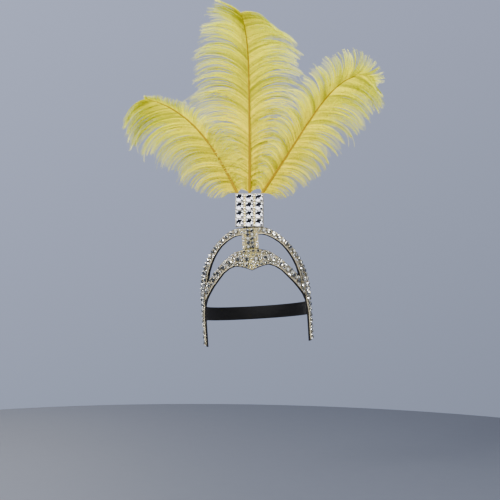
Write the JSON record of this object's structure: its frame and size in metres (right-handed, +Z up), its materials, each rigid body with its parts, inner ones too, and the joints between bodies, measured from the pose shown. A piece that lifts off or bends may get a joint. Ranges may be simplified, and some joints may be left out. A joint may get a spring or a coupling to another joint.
{
  "type": "carnival feather headdress",
  "caption": "Open crown headdress: stone-set brow band and arch with side tails, a crystal panel on top and a fan of tall yellow ostrich plumes, worn with an elastic strap.",
  "frame": {"origin": "mount head_seat: the middle of the hollow for the head, level with the middle of the strap where it is sewn to the tails", "axes": "+Z up along the head, -Y to the front, +X to the viewer's right in the picture"},
  "size_m": [0.4436, 0.2713, 0.573],
  "materials": {
    "black_felt": "matte pressed felt",
    "jewelled_net": "beige net closely set with faceted silver-grey rhinestones",
    "black_elastic": "ribbed woven elastic",
    "silver_setting": "bright silver-coloured settings",
    "crystal_glass": "foil-backed cut crystal, clear and opaque",
    "yellow_plume": "dyed ostrich plume, soft and matte"
  },
  "bodies": {
    "root": {"felt_crown": "black_felt", "feather_pocket": "black_felt", "arch_trim_left": "jewelled_net", "arch_trim_right": "jewelled_net", "brow_trim": "jewelled_net", "post_trim": "jewelled_net", "head_strap": "black_elastic", "panel_plate": "silver_setting", "crystal_r1_c1": "crystal_glass", "crystal_r1_c2": "crystal_glass", "crystal_r1_c3": "crystal_glass", "crystal_r2_c1": "crystal_glass", "crystal_r2_c2": "crystal_glass", "crystal_r2_c3": "crystal_glass", "crystal_r3_c1": "crystal_glass", "crystal_r3_c2": "crystal_glass", "crystal_r3_c3": "crystal_glass", "crystal_r4_c1": "crystal_glass", "crystal_r4_c2": "crystal_glass", "crystal_r4_c3": "crystal_glass", "feather_left": "yellow_plume", "feather_centre": "yellow_plume", "feather_right": "yellow_plume"}
  },
  "joints": []
}
